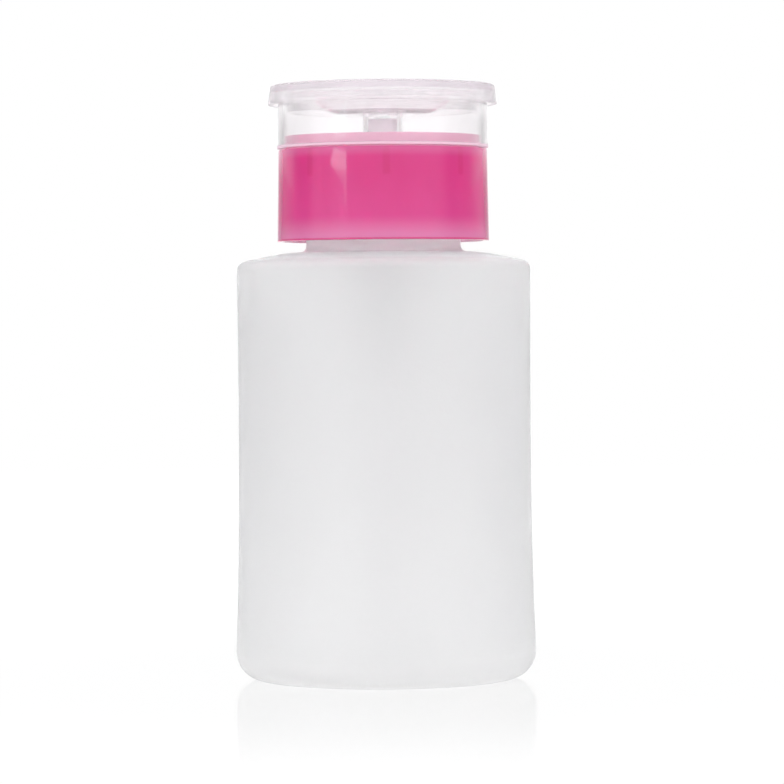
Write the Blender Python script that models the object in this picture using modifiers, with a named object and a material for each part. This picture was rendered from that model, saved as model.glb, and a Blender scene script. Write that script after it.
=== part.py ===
"""Push-down pump dispenser bottle of the kind that wets a cotton pad: a frosted bottle, a screw closure
under a pink collar ring, a sprung pump with a press dish on top, and a clear push-fit lid.
Metres, +Z up, origin where the bottle's axis meets the surface that it stands on."""

import math

import bmesh
import bpy
from mathutils import Matrix

MM = 0.001

# Clearances that every fit in the object is worked out from
SEAT_GAP = 0.3 * MM  # between two pieces that rest on, or fit in, each other
THREAD_GAP = 0.4 * MM  # from the crest of one thread to the wall of the other piece
PISTON_PLAY = 0.15 * MM  # piston lip to cylinder bore
WELL_PLAY = 0.4 * MM  # the dish's socket to the well in the stem guide
FLANGE_PLAY = 0.8 * MM  # gasket and housing flange to the inside of the screw cap
DISH_PLAY = 0.75 * MM  # dish edge to the inside of the lid
BALL_PLAY = 0.4 * MM  # outlet ball to the inside of its cap
CHAMBER_PLAY = 0.75 * MM  # inlet ball to the wall of its chamber
SPRING_PLAY = 0.6 * MM  # spring to cylinder bore

# Bottle
BODY_RADIUS = 27.95 * MM
BODY_HEIGHT = 79.8 * MM  # up to the round edge of the shoulder
HEEL_SWELL = 0.65 * MM  # how far the heel stands out past the body radius
WAIST_DRAW = 0.15 * MM  # how far the middle is drawn in
HEEL_CORNER = 5.4 * MM
SHOULDER_CORNER = 1.9 * MM
SHOULDER_RISE = 1.6 * MM  # from the round edge up to the neck
BOTTLE_WALL = 0.9 * MM
STANDING_WIDTH = 2.8 * MM  # flat ring that the bottle stands on
BASE_RECESS = 2.0 * MM  # push-up inside that ring
BASE_SLOPE = 3.4 * MM  # width of the slope from the ring up to the push-up
BASE_BEND_SHARE = 0.75  # of the recess, reached half-way up the slope

# Neck, and the threads on it and in the screw cap
NECK_RADIUS = 14.7 * MM
NECK_WALL = 2.0 * MM
NECK_HEIGHT = 14.15 * MM
NECK_SHOW = 2.0 * MM  # bare neck between the shoulder and the collar
LIP_ROUND = 0.4 * MM
THREAD_PITCH = 4.23 * MM
THREAD_PROUD = 1.3 * MM
THREAD_SECTION_SHARE = 0.225  # radius of the round ridge, as a share of the pitch
THREAD_DROP = 1.6 * MM  # from the lip down to the end of the neck's ridge
THREAD_LEAD = 3.0 * MM  # from the screw cap's foot up to the start of the neck's ridge
CAP_START_SHARE = 0.25  # of a turn, by which the cap's ridge starts after the neck's
CAP_TURNS_SHARE = 0.77  # length of the cap's ridge, as a share of the neck's
TAPER_TIP_SHARE = 0.3  # a ridge starts this slim
TAPER_LENGTH_SHARE = 0.12  # and is full after this share of its length

# Screw cap
CAP_WALL = 0.9 * MM
CAP_DECK = 1.3 * MM
CAP_RECESS = 1.2 * MM  # the cap ends this far inside the collar's lower edge
PRESS_RIB_WIDTH = 1.8 * MM  # rib under the deck that presses the housing on the gasket
KEY_COUNT = 8
KEY_WIDTH = 0.8 * MM
KEY_HEIGHT = 3.4 * MM
KEY_PHASE = math.radians(-88)

# Collar ring
RING_WALL = 1.0 * MM
RING_HEIGHT = 2.55 * MM  # snap ring that the lid goes over
RING_WIDTH = 1.4 * MM
RING_DECK = 1.0 * MM
DECK_DROP = 0.8 * MM  # deck below the top of the snap ring
LEDGE_WIDTH = 1.3 * MM
LEDGE_THICKNESS = 1.2 * MM
COLLAR_FLARE = 0.3 * MM

# Gasket and pump housing
GASKET_THICKNESS = 1.0 * MM
GASKET_INSET = 0.2 * MM  # from the neck's bore
FLANGE_THICKNESS = 1.2 * MM
CYLINDER_BORE = 4.75 * MM
HOUSING_WALL = 1.0 * MM
PLUG_LEDGE = 0.55 * MM  # how much wider the guide's plug is than the cylinder
HEAD_TAPER = 1.5 * MM
FOOT_TAPER = 4.0 * MM
TUBE_SOCKET = 5.0 * MM
SOCKET_SHOULDER = 1.4 * MM  # floor between the tube's socket and the valve seat

# Valves
INLET_BALL_RADIUS = 2.0 * MM
INLET_HOLE_RADIUS = 1.3 * MM
INLET_BALL_LIFT = 1.2 * MM
BALL_LIP_BITE = 0.3 * MM  # how far the lip over the inlet ball reaches over it
BALL_LIP_THICKNESS = 0.6 * MM
OUTLET_BALL_RADIUS = 1.5 * MM
OUTLET_BALL_LIFT = 0.85 * MM
OUTLET_SEAT_DEPTH = 1.0 * MM

# Stem guide, stem, piston and spring
STROKE = 4.2 * MM
STEM_RADIUS = 2.75 * MM
STEM_BORE = 1.1 * MM
SPIGOT_STEP = 0.55 * MM  # the stem's lower end is this much slimmer
GUIDE_WALL = 1.15 * MM
GUIDE_FLANGE_WIDTH = 3.0 * MM
GUIDE_FLANGE_THICKNESS = 1.0 * MM
GUIDE_BEARING = 4.1 * MM
GUIDE_ABOVE_DECK = 0.3 * MM
PISTON_HEIGHT = 5.5 * MM
PISTON_FLOOR = 1.3 * MM
PISTON_LIP = 1.1 * MM
PISTON_WAIST = 0.6 * MM
SPRING_LENGTH = 15.0 * MM
SPRING_WIRE = 0.8 * MM
SPRING_TURNS = 8
SPRING_END_GAP = 0.5 * MM  # between the closed end turns

# Dip tube
TUBE_RADIUS = 2.5 * MM
TUBE_BORE = 1.8 * MM
TUBE_FLOOR_GAP = 2.2 * MM

# Press dish and outlet cap
DISH_HEIGHT = 3.2 * MM
DISH_WALL = 1.1 * MM
BRIM_WIDTH = 3.1 * MM
BRIM_ROUND = 0.4 * MM
FLANK_WIDTH = 6.15 * MM  # of the bowl's sloping side
FLANK_EASE = 0.6 * MM  # each end of the slope is eased over this width
BOWL_HANG = 0.5 * MM  # how far the bowl's underside hangs below the skirt's foot
SOCKET_WALL = 0.71 * MM
SOCKET_LAP = 0.4 * MM  # how deep the socket sits in the guide at rest
STEM_BELOW_BOWL = 1.9 * MM
OUTLET_CAP_SKIRT = 0.6 * MM  # below the floor of the bowl
OUTLET_CAP_ROOF = 0.55 * MM
OUTLET_SLOT = 0.9 * MM

# Lid
LID_HEADROOM = 0.5 * MM
LID_TOP = 1.5 * MM
LID_WALL = 1.07 * MM
LID_BEAD = 0.15 * MM
LID_BEAD_HEIGHT = 0.9 * MM
RIM_OVERHANG = 1.4 * MM
RIM_FLARE = 0.43 * MM
RIM_HEIGHT = 3.65 * MM
RIM_ROUND = 0.45 * MM

# How finely round shapes are divided, and how exactly they are joined and cut
WIDE_STEPS = 48
SLIM_STEPS = 32
SIDE_ROWS = 5
CORNER_STEPS = 3
RIDGE_POINTS_PER_TURN = 30
CURL_POINTS_PER_TURN = 10
BALL_SEGMENTS = 16
WELD_DISTANCE = 0.001 * MM
CUT_OVERRUN = 1.0 * MM
SHARP_ANGLE = math.radians(28)

# Radii that pieces share, from the neck outwards and from the stem outwards
NECK_BORE = NECK_RADIUS - NECK_WALL
CAP_BORE = NECK_RADIUS + THREAD_PROUD + THREAD_GAP
CAP_RADIUS = CAP_BORE + CAP_WALL
SNAP_RADIUS = CAP_RADIUS + SEAT_GAP + RING_WALL
COLLAR_RADIUS = SNAP_RADIUS + LEDGE_WIDTH
FLANGE_RADIUS = CAP_BORE - FLANGE_PLAY
SOCKET_BORE = STEM_RADIUS + SEAT_GAP
SOCKET_RADIUS = SOCKET_BORE + SOCKET_WALL
WELL_RADIUS = SOCKET_RADIUS + WELL_PLAY
GUIDE_RADIUS = WELL_RADIUS + GUIDE_WALL
DECK_HOLE = GUIDE_RADIUS + SEAT_GAP
PLUG_RADIUS = CYLINDER_BORE + PLUG_LEDGE
LID_BORE = SNAP_RADIUS + SEAT_GAP
LID_RADIUS = LID_BORE + LID_WALL
DISH_RADIUS = LID_BORE - DISH_PLAY
BOWL_RADIUS = DISH_RADIUS - BRIM_WIDTH
FLOOR_RADIUS = BOWL_RADIUS - FLANK_WIDTH
INLET_CHAMBER = INLET_BALL_RADIUS + CHAMBER_PLAY

# Heights where the pieces sit, from the bottle up
NECK_ROOT_Z = BODY_HEIGHT + SHOULDER_RISE
LIP_Z = NECK_ROOT_Z + NECK_HEIGHT
GASKET_Z = LIP_Z + SEAT_GAP
HOUSING_Z = GASKET_Z + GASKET_THICKNESS + SEAT_GAP
FLANGE_TOP_Z = HOUSING_Z + FLANGE_THICKNESS
GUIDE_Z = FLANGE_TOP_Z + SEAT_GAP
CAP_DECK_Z = GUIDE_Z + GUIDE_FLANGE_THICKNESS + SEAT_GAP
RING_DECK_Z = CAP_DECK_Z + CAP_DECK + SEAT_GAP
RING_TOP_Z = RING_DECK_Z + RING_DECK + DECK_DROP
LEDGE_Z = RING_TOP_Z - RING_HEIGHT
COLLAR_FOOT_Z = NECK_ROOT_Z + NECK_SHOW
CAP_FOOT_Z = COLLAR_FOOT_Z + CAP_RECESS
GUIDE_TOP_Z = RING_DECK_Z + RING_DECK + GUIDE_ABOVE_DECK
SOCKET_FOOT_Z = GUIDE_TOP_Z - SOCKET_LAP
WELL_FLOOR_Z = SOCKET_FOOT_Z - STROKE - SEAT_GAP
PLUG_FOOT_Z = WELL_FLOOR_Z - GUIDE_BEARING
PISTON_TOP_Z = PLUG_FOOT_Z - SEAT_GAP
PISTON_FOOT_Z = PISTON_TOP_Z - PISTON_HEIGHT
STEM_SHOULDER_Z = PISTON_TOP_Z + SEAT_GAP
SPRING_FOOT_Z = PISTON_FOOT_Z - SEAT_GAP - SPRING_LENGTH
SPRING_SHELF_Z = SPRING_FOOT_Z - SEAT_GAP
DISH_FOOT_Z = RING_TOP_Z + SEAT_GAP + STROKE
DISH_TOP_Z = DISH_FOOT_Z + DISH_HEIGHT
BOWL_FLOOR_Z = DISH_FOOT_Z - BOWL_HANG + DISH_WALL
BOWL_DEPTH = DISH_TOP_Z - BOWL_FLOOR_Z
STEM_TOP_Z = BOWL_FLOOR_Z - STEM_BELOW_BOWL
LID_FOOT_Z = LEDGE_Z + SEAT_GAP
LID_UNDERSIDE_Z = DISH_TOP_Z + LID_HEADROOM
LID_TOP_Z = LID_UNDERSIDE_Z + LID_TOP

# A ball's centre lies this high over the low edge of a 45 degree cone that it clears by the seat gap
CONE_SLANT = math.sqrt(2)
INLET_CENTRE_RISE = CONE_SLANT * (INLET_BALL_RADIUS + SEAT_GAP) - INLET_HOLE_RADIUS
OUTLET_CENTRE_RISE = CONE_SLANT * (OUTLET_BALL_RADIUS + SEAT_GAP) - STEM_BORE
BALL_LIP_Z = SPRING_SHELF_Z - BALL_LIP_THICKNESS
INLET_BALL_Z = BALL_LIP_Z - INLET_BALL_LIFT - SEAT_GAP - INLET_BALL_RADIUS
INLET_SEAT_Z = INLET_BALL_Z - INLET_CENTRE_RISE
TUBE_STOP_Z = INLET_SEAT_Z - SOCKET_SHOULDER
HOUSING_FOOT_Z = TUBE_STOP_Z - TUBE_SOCKET
OUTLET_SEAT_Z = STEM_TOP_Z - OUTLET_SEAT_DEPTH
OUTLET_BALL_Z = OUTLET_SEAT_Z + OUTLET_CENTRE_RISE
OUTLET_CEILING_Z = OUTLET_BALL_Z + OUTLET_BALL_RADIUS + OUTLET_BALL_LIFT + SEAT_GAP

# The neck's ridge fills the height between its lead and its drop
THREAD_SECTION = THREAD_PITCH * THREAD_SECTION_SHARE
THREAD_Z = CAP_FOOT_Z + THREAD_LEAD
THREAD_TURNS = (LIP_Z - THREAD_DROP - THREAD_Z) / THREAD_PITCH

FINISHES = {  # base colour, roughness, metallic, transmission
    "frosted_polyethylene": ((0.90, 0.90, 0.92, 1.0), 0.45, 0.0, 0.4),
    "pink_plastic": ((0.80, 0.06, 0.25, 1.0), 0.22, 0.0, 0.2),
    "clear_plastic": ((0.93, 0.90, 0.94, 1.0), 0.12, 0.0, 0.9),
    "natural_plastic": ((0.90, 0.89, 0.90, 1.0), 0.35, 0.0, 0.3),
    "soft_seal": ((0.82, 0.82, 0.80, 1.0), 0.6, 0.0, 0.0),
    "spring_steel": ((0.62, 0.62, 0.64, 1.0), 0.25, 1.0, 0.0),
    "valve_glass": ((0.85, 0.90, 0.90, 1.0), 0.05, 0.0, 0.9),
}


def clear_scene():
    for obj in list(bpy.data.objects):
        bpy.data.objects.remove(obj)


def new_collection(name):
    collection = bpy.data.collections.new(name)
    bpy.context.scene.collection.children.link(collection)
    return collection


def finish_material(name):
    """A Principled material of that finish, made once."""
    found = bpy.data.materials.get(name)
    if found:
        return found
    colour, roughness, metallic, transmission = FINISHES[name]
    material = bpy.data.materials.new(name)
    material.use_nodes = True
    shader = material.node_tree.nodes["Principled BSDF"]
    shader.inputs["Base Color"].default_value = colour
    shader.inputs["Roughness"].default_value = roughness
    shader.inputs["Metallic"].default_value = metallic
    shader.inputs["Transmission Weight"].default_value = transmission
    material.diffuse_color = colour
    return material


def add_piece(name, data, finish, parts, height):
    """A sub-part on the axis, with its origin at that height."""
    obj = bpy.data.objects.new(name, data)
    obj.location.z = height
    data.materials.append(finish_material(finish))
    parts.objects.link(obj)
    return obj


def add_helper(name, data, helpers):
    """A shape that only cuts or joins, and isn't a sub-part itself."""
    obj = bpy.data.objects.new(name, data)
    obj.display_type = "WIRE"
    obj.hide_render = True
    helpers.objects.link(obj)
    return obj


def evaluated_mesh(obj):
    """What the object's modifiers, or its curve, make, with doubled points welded."""
    bpy.context.view_layer.update()
    graph = bpy.context.evaluated_depsgraph_get()
    mesh = bpy.data.meshes.new_from_object(obj.evaluated_get(graph))
    shape = bmesh.new()
    shape.from_mesh(mesh)
    bmesh.ops.remove_doubles(shape, verts=shape.verts, dist=WELD_DISTANCE)
    shape.to_mesh(mesh)
    shape.free()
    return mesh


def turned(name, outline, finish, parts, height, steps):
    """A solid of revolution with its origin at that height on the axis.

    The outline's (radius, height) points run down its outer side. It ends on the axis or, if it starts
    off the axis, closes on itself."""
    profile = bpy.data.meshes.new(name + "_profile")
    count = len(outline)
    edges = [(i, i + 1) for i in range(count - 1)]
    if outline[0][0] > 0:
        edges.append((count - 1, 0))
    profile.from_pydata([(r, 0, z - height) for r, z in outline], edges, [])
    obj = add_piece(name, profile, finish, parts, height)
    screw = obj.modifiers.new("turn", "SCREW")
    screw.steps = screw.render_steps = steps
    screw.use_merge_vertices = True
    screw.merge_threshold = WELD_DISTANCE
    mesh = evaluated_mesh(obj)
    mesh.shade_smooth()
    mesh.set_sharp_from_angle(angle=SHARP_ANGLE)
    obj.modifiers.clear()
    obj.data = mesh
    bpy.data.meshes.remove(profile)
    mesh.name = name
    return obj


def round_wire(name, section):
    """An empty curve whose wire is round and closed at its ends."""
    curve = bpy.data.curves.new(name, "CURVE")
    curve.dimensions = "3D"
    curve.bevel_depth = section
    curve.bevel_resolution = 1
    curve.use_fill_caps = True
    return curve


def wind(curve, radius, turns, heights):
    """A right-handed winding: a point at that radius for each turn value and its height."""
    spline = curve.splines.new("POLY")
    spline.points.add(len(turns) - 1)
    for point, turn, height in zip(spline.points, turns, heights):
        angle = math.tau * turn
        point.co = (radius * math.cos(angle), radius * math.sin(angle), height, 1)
    return spline


def thread_ridge(name, radius, first_turn, turn_count, turn_zero_z, helpers):
    """A rounded ridge along a helix, slimmer towards its ends."""
    count = round(turn_count * RIDGE_POINTS_PER_TURN) + 1
    turns = [first_turn + turn_count * i / (count - 1) for i in range(count)]
    curve = round_wire(name + "_line", THREAD_SECTION)
    spline = wind(curve, radius, turns, [turn_zero_z + THREAD_PITCH * turn for turn in turns])
    for i, point in enumerate(spline.points):
        nearest_end = min(i, count - 1 - i) / (count - 1)
        point.radius = min(1, TAPER_TIP_SHARE + nearest_end / TAPER_LENGTH_SHARE)
    line = add_helper(name + "_line", curve, helpers)
    ridge = add_helper(name, evaluated_mesh(line), helpers)
    ridge.matrix_world = line.matrix_world
    bpy.data.objects.remove(line)
    bpy.data.curves.remove(curve)
    return ridge


def combine(obj, helper, operation):
    """Joins the helper to the object, or cuts it out."""
    step = obj.modifiers.new(helper.name, "BOOLEAN")
    step.operation = operation
    step.object = helper


def boxes(name, size, places, helpers):
    """Boxes of one size, one at each matrix, in one helper."""
    shape = bmesh.new()
    for place in places:
        bmesh.ops.create_cube(shape, size=1, matrix=place @ Matrix.Diagonal((*size, 1)))
    mesh = bpy.data.meshes.new(name)
    shape.to_mesh(mesh)
    shape.free()
    return add_helper(name, mesh, helpers)


def ball(name, radius, finish, parts, height):
    shape = bmesh.new()
    bmesh.ops.create_uvsphere(shape, u_segments=BALL_SEGMENTS, v_segments=BALL_SEGMENTS // 2, radius=radius)
    mesh = bpy.data.meshes.new(name)
    shape.to_mesh(mesh)
    shape.free()
    mesh.shade_smooth()
    return add_piece(name, mesh, finish, parts, height)


def arc(centre_r, centre_z, radius, start, end, count):
    """Points on a round edge, from one angle to another in degrees, 0 outwards and 90 up."""
    angles = [math.radians(start + (end - start) * i / count) for i in range(count + 1)]
    return [(centre_r + radius * math.cos(a), centre_z + radius * math.sin(a)) for a in angles]


def body_radius(share):
    """The body's radius at a share of the way from the heel up to the shoulder."""
    swell = HEEL_SWELL * (1 - share) ** 4
    waist = WAIST_DRAW * math.sin(math.pi * share)
    return BODY_RADIUS + swell - waist


def shoulder_face(inset):
    """The shallow dome from the neck out to the round edge, moved down by an inset."""
    run = BODY_RADIUS - SHOULDER_CORNER - NECK_RADIUS
    face = []
    for i in range(SIDE_ROWS - 2):
        share = i / (SIDE_ROWS - 2)
        height = BODY_HEIGHT + SHOULDER_RISE * math.cos(share * math.pi / 2)
        face.append((NECK_RADIUS + run * share, height - inset))
    return face


def side_face(inset):
    """The body from the shoulder's round edge down to the standing ring, moved in by an inset."""
    top = BODY_HEIGHT - SHOULDER_CORNER
    heel = BODY_RADIUS + HEEL_SWELL - HEEL_CORNER
    shares = [1 - i / SIDE_ROWS for i in range(1, SIDE_ROWS)]
    side = [(body_radius(share) - inset, HEEL_CORNER + (top - HEEL_CORNER) * share) for share in shares]
    shoulder_edge = arc(BODY_RADIUS - SHOULDER_CORNER, top, SHOULDER_CORNER - inset, 90, 0, CORNER_STEPS)
    heel_edge = arc(heel, HEEL_CORNER, HEEL_CORNER - inset, 0, -90, CORNER_STEPS + 2)
    return shoulder_edge + side + heel_edge


def base_face(inset):
    """The underside from the standing ring in to the axis, moved up by an inset."""
    ring = BODY_RADIUS + HEEL_SWELL - HEEL_CORNER - STANDING_WIDTH
    return [
        (ring, inset),
        (ring - BASE_SLOPE / 2, BASE_RECESS * BASE_BEND_SHARE + inset),
        (ring - BASE_SLOPE, BASE_RECESS + inset),
        (0, BASE_RECESS + inset),
    ]


def make_bottle(parts, helpers):
    outside = [
        (NECK_BORE, LIP_Z),
        (NECK_RADIUS - LIP_ROUND, LIP_Z),
        (NECK_RADIUS, LIP_Z - LIP_ROUND),
        *shoulder_face(0),
        *side_face(0),
        *base_face(0),
    ]
    under_neck, *under_shoulder = shoulder_face(BOTTLE_WALL)
    inside = [
        (NECK_BORE, under_neck[1]),
        *under_shoulder,
        *side_face(BOTTLE_WALL),
        *base_face(BOTTLE_WALL),
    ]
    obj = turned("bottle", inside[::-1] + outside, "frosted_polyethylene", parts, 0, WIDE_STEPS)
    radius = NECK_RADIUS + THREAD_PROUD - THREAD_SECTION
    combine(obj, thread_ridge("neck_thread", radius, 0, THREAD_TURNS, THREAD_Z, helpers), "UNION")
    return obj


def make_neck_gasket(parts):
    inner = NECK_BORE + GASKET_INSET
    top = GASKET_Z + GASKET_THICKNESS
    outline = [(inner, top), (FLANGE_RADIUS, top), (FLANGE_RADIUS, GASKET_Z), (inner, GASKET_Z)]
    return turned("neck_gasket", outline, "soft_seal", parts, GASKET_Z, WIDE_STEPS)


def make_pump_housing(parts):
    """The flanged cylinder, with the inlet valve's seat and the dip tube's socket at its foot."""
    head_bore = PLUG_RADIUS + SEAT_GAP
    head = head_bore + HOUSING_WALL
    barrel = CYLINDER_BORE + HOUSING_WALL
    tube_bore = TUBE_RADIUS + SEAT_GAP
    foot = tube_bore + HOUSING_WALL
    lip_bore = INLET_BALL_RADIUS - BALL_LIP_BITE
    outline = [
        (head_bore, FLANGE_TOP_Z),
        (FLANGE_RADIUS, FLANGE_TOP_Z),
        (FLANGE_RADIUS, HOUSING_Z),
        (head, HOUSING_Z),
        (head, PISTON_TOP_Z),
        (barrel, PISTON_TOP_Z - HEAD_TAPER),
        (barrel, BALL_LIP_Z),
        (foot, BALL_LIP_Z - FOOT_TAPER),
        (foot, HOUSING_FOOT_Z),
        (tube_bore, HOUSING_FOOT_Z),
        (tube_bore, TUBE_STOP_Z),
        (INLET_HOLE_RADIUS, TUBE_STOP_Z),
        (INLET_HOLE_RADIUS, INLET_SEAT_Z),
        (INLET_CHAMBER, INLET_SEAT_Z + INLET_CHAMBER - INLET_HOLE_RADIUS),
        (INLET_CHAMBER, BALL_LIP_Z),
        (lip_bore, BALL_LIP_Z),
        (lip_bore, SPRING_SHELF_Z),
        (CYLINDER_BORE, SPRING_SHELF_Z),
        (CYLINDER_BORE, PISTON_TOP_Z),
        (head_bore, PISTON_TOP_Z),
    ]
    return turned("pump_housing", outline, "natural_plastic", parts, HOUSING_Z, SLIM_STEPS)


def make_dip_tube(parts):
    top = TUBE_STOP_Z - SEAT_GAP
    foot = BASE_RECESS + BOTTLE_WALL + TUBE_FLOOR_GAP
    outline = [(TUBE_BORE, top), (TUBE_RADIUS, top), (TUBE_RADIUS, foot), (TUBE_BORE, foot)]
    return turned("dip_tube", outline, "natural_plastic", parts, foot, SLIM_STEPS)


def make_inlet_ball(parts):
    return ball("inlet_ball", INLET_BALL_RADIUS, "valve_glass", parts, INLET_BALL_Z)


def spring_height(turn):
    """Rise of the wire's middle from the spring's low end: closed end turns, even turns between."""
    closed_pitch = SPRING_WIRE + SPRING_END_GAP
    open_pitch = (SPRING_LENGTH - SPRING_WIRE - 2 * closed_pitch) / (SPRING_TURNS - 2)
    low = min(turn, 1)
    high = max(0, turn - SPRING_TURNS + 1)
    return (low + high) * closed_pitch + (turn - low - high) * open_pitch


def make_return_spring(parts):
    """A compression spring, one unbroken wire."""
    section = SPRING_WIRE / 2
    turns = [i / CURL_POINTS_PER_TURN for i in range(SPRING_TURNS * CURL_POINTS_PER_TURN + 1)]
    curve = round_wire("return_spring", section)
    wind(curve, CYLINDER_BORE - SPRING_PLAY - section, turns, [section + spring_height(t) for t in turns])
    rises = [spring_height(t + 1) - spring_height(t) for t in turns if t <= SPRING_TURNS - 1]
    print(f"return_spring: least gap to itself {(min(rises) - SPRING_WIRE) / MM:.2f} mm")
    return add_piece("return_spring", curve, "spring_steel", parts, SPRING_FOOT_Z)


def make_stem_guide(parts):
    """The flanged bush that closes the cylinder and guides the stem and the dish's socket."""
    bearing = STEM_RADIUS + SEAT_GAP
    flange = PLUG_RADIUS + GUIDE_FLANGE_WIDTH
    flange_top = GUIDE_Z + GUIDE_FLANGE_THICKNESS
    outline = [
        (WELL_RADIUS, GUIDE_TOP_Z),
        (GUIDE_RADIUS, GUIDE_TOP_Z),
        (GUIDE_RADIUS, flange_top),
        (flange, flange_top),
        (flange, GUIDE_Z),
        (PLUG_RADIUS, GUIDE_Z),
        (PLUG_RADIUS, PLUG_FOOT_Z),
        (bearing, PLUG_FOOT_Z),
        (bearing, WELL_FLOOR_Z),
        (WELL_RADIUS, WELL_FLOOR_Z),
    ]
    return turned("stem_guide", outline, "natural_plastic", parts, GUIDE_Z, SLIM_STEPS)


def make_piston(parts):
    """A soft piston with a sealing lip at each end, pushed on the stem's spigot."""
    lip = CYLINDER_BORE - PISTON_PLAY
    waist = lip - PISTON_WAIST
    socket = STEM_RADIUS - SPIGOT_STEP + SEAT_GAP
    high_end = [
        (waist, PISTON_TOP_Z),
        (lip, PISTON_TOP_Z - PISTON_LIP / 2),
        (lip, PISTON_TOP_Z - PISTON_LIP),
        (waist, PISTON_TOP_Z - PISTON_LIP * 3 / 2),
    ]
    low_end = [(r, PISTON_TOP_Z + PISTON_FOOT_Z - z) for r, z in high_end[::-1]]
    hollow = [
        (STEM_BORE, PISTON_FOOT_Z),
        (STEM_BORE, PISTON_FOOT_Z + PISTON_FLOOR),
        (socket, PISTON_FOOT_Z + PISTON_FLOOR),
        (socket, PISTON_TOP_Z),
    ]
    return turned("piston", high_end + low_end + hollow, "soft_seal", parts, PISTON_FOOT_Z, SLIM_STEPS)


def make_pump_stem(parts):
    """The hollow stem, with the outlet valve's cone in its top and a spigot for the piston below."""
    spigot = STEM_RADIUS - SPIGOT_STEP
    spigot_foot = PISTON_FOOT_Z + PISTON_FLOOR + SEAT_GAP
    outline = [
        (STEM_BORE + OUTLET_SEAT_DEPTH, STEM_TOP_Z),
        (STEM_RADIUS, STEM_TOP_Z),
        (STEM_RADIUS, STEM_SHOULDER_Z),
        (spigot, STEM_SHOULDER_Z),
        (spigot, spigot_foot),
        (STEM_BORE, spigot_foot),
        (STEM_BORE, OUTLET_SEAT_Z),
    ]
    return turned("pump_stem", outline, "natural_plastic", parts, STEM_SHOULDER_Z, SLIM_STEPS)


def bowl_face(inset):
    """The bowl from the socket out to the brim, moved down by an inset: a flat floor and a straight flank."""
    slope = BOWL_DEPTH / FLANK_WIDTH
    floor = BOWL_FLOOR_Z - inset
    brim = DISH_TOP_Z - inset
    return [
        (SOCKET_RADIUS, floor),
        (FLOOR_RADIUS - FLANK_EASE, floor),
        (FLOOR_RADIUS + FLANK_EASE, floor + slope * FLANK_EASE),
        (BOWL_RADIUS - FLANK_EASE, brim - slope * FLANK_EASE),
        (BOWL_RADIUS + FLANK_EASE, brim),
    ]


def make_press_dish(parts):
    """The press head: a bowl with a brim and a skirt, and a socket for the stem under it."""
    skirt_inner = DISH_RADIUS - DISH_WALL
    outline = [
        (SOCKET_BORE, BOWL_FLOOR_Z),
        *bowl_face(0),
        (DISH_RADIUS - BRIM_ROUND, DISH_TOP_Z),
        (DISH_RADIUS, DISH_TOP_Z - BRIM_ROUND),
        (DISH_RADIUS, DISH_FOOT_Z),
        (skirt_inner, DISH_FOOT_Z),
        (skirt_inner, DISH_TOP_Z - DISH_WALL),
        *bowl_face(DISH_WALL)[::-1],
        (SOCKET_RADIUS, SOCKET_FOOT_Z),
        (SOCKET_BORE, SOCKET_FOOT_Z),
    ]
    return turned("press_dish", outline, "clear_plastic", parts, DISH_FOOT_Z, WIDE_STEPS)


def make_outlet_ball(parts):
    return ball("outlet_ball", OUTLET_BALL_RADIUS, "valve_glass", parts, OUTLET_BALL_Z)


def make_outlet_cap(parts, helpers):
    """The thimble in the middle of the bowl, with four slots that let the liquid out at its floor."""
    bore = OUTLET_BALL_RADIUS + BALL_PLAY
    top = OUTLET_CEILING_Z + OUTLET_CAP_ROOF
    foot = BOWL_FLOOR_Z - OUTLET_CAP_SKIRT
    outline = [
        (0, top),
        (STEM_RADIUS, top),
        (STEM_RADIUS, foot),
        (bore, foot),
        (bore, OUTLET_CEILING_Z),
        (0, OUTLET_CEILING_Z),
    ]
    obj = turned("outlet_cap", outline, "clear_plastic", parts, foot, SLIM_STEPS)
    slot_height = OUTLET_CEILING_Z - BOWL_FLOOR_Z
    size = (2 * STEM_RADIUS + CUT_OVERRUN, OUTLET_SLOT, slot_height)
    middle = Matrix.Translation((0, 0, BOWL_FLOOR_Z + slot_height / 2))
    for side in (-1, 1):
        place = middle @ Matrix.Rotation(side * math.pi / 4, 4, "Z")
        combine(obj, boxes("outlet_slot", size, [place], helpers), "DIFFERENCE")
    return obj


def make_screw_cap(parts, helpers):
    """The threaded cap that holds the housing's flange down on the gasket."""
    top = CAP_DECK_Z + CAP_DECK
    rib_foot = FLANGE_TOP_Z + SEAT_GAP
    outline = [
        (DECK_HOLE, top),
        (CAP_RADIUS, top),
        (CAP_RADIUS, CAP_FOOT_Z),
        (CAP_BORE, CAP_FOOT_Z),
        (CAP_BORE, CAP_DECK_Z),
        (NECK_RADIUS, CAP_DECK_Z),
        (NECK_RADIUS, rib_foot),
        (NECK_RADIUS - PRESS_RIB_WIDTH, rib_foot),
        (NECK_RADIUS - PRESS_RIB_WIDTH, CAP_DECK_Z),
        (DECK_HOLE, CAP_DECK_Z),
    ]
    obj = turned("screw_cap", outline, "natural_plastic", parts, CAP_DECK_Z, WIDE_STEPS)
    radius = NECK_RADIUS + THREAD_GAP + THREAD_SECTION
    turn_zero_z = THREAD_Z - THREAD_PITCH / 2
    turns = THREAD_TURNS * CAP_TURNS_SHARE
    combine(obj, thread_ridge("cap_thread", radius, CAP_START_SHARE, turns, turn_zero_z, helpers), "UNION")
    combine(obj, cap_keys(helpers), "UNION")
    return obj


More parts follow.
